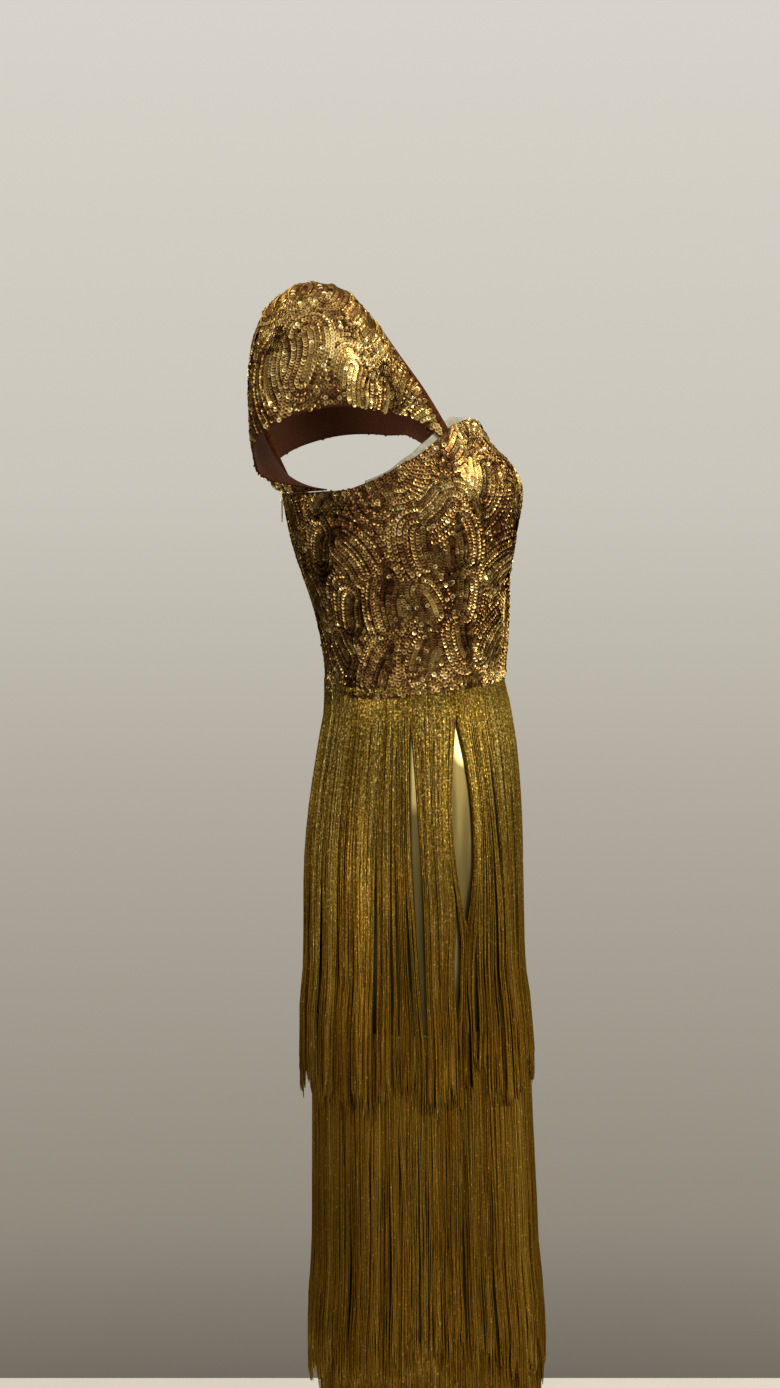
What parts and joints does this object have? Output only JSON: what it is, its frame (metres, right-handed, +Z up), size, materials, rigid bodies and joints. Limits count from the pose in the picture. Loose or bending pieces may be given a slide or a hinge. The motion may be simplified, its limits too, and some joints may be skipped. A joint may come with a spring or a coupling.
{
  "type": "sequin fringed evening gown",
  "caption": "Floor-length evening gown in its worn shape: sequinned sweetheart bodice, cap sleeves, foil skirt under long tiers of fringe, and a back zip.",
  "frame": {"origin": "the middle of the torso at the bust line, where a wearer holds the gown up", "axes": "+Z up; the front faces -Y; the wearer's left is +X"},
  "size_m": [0.414, 0.2963, 1.4175],
  "materials": {
    "sequin_cloth": "glossy gold sequins sewn in rows",
    "edge_cloth": "dark brown bound edge",
    "pale_tape": "translucent pale tape",
    "foil_cloth": "smooth metallic foil on stretch cloth",
    "fringe": "metallic thread fringe",
    "zip_metal": "polished gold metal"
  },
  "bodies": {
    "gown": {"bodice_front": "sequin_cloth", "bodice_side_front_right": "sequin_cloth", "bodice_side_front_left": "sequin_cloth", "bodice_side_back_right": "sequin_cloth", "bodice_side_back_left": "sequin_cloth", "bodice_back_right": "sequin_cloth", "bodice_back_left": "sequin_cloth", "sleeve_right": "sequin_cloth", "sleeve_left": "sequin_cloth", "sleeve_edge_right": "edge_cloth", "sleeve_edge_left": "edge_cloth", "neckline_tape_right": "pale_tape", "neckline_tape_left": "pale_tape", "skirt_front": "foil_cloth", "skirt_back_right": "foil_cloth", "skirt_back_left": "foil_cloth", "fringe_tier_1": "fringe", "fringe_tier_2": "fringe", "fringe_tier_3": "fringe", "zip_chain": "zip_metal", "zip_slider": "zip_metal"},
    "pull_tab": {"zip_tab": "zip_metal"}
  },
  "joints": [
    {"name": "zip_tab_swing", "type": "hinge", "parent": "gown", "child": "pull_tab", "pos_m": [0, 0.13156, -0.01114], "axis": [1, 0, 0], "range_deg": [-8, 150]}
  ]
}
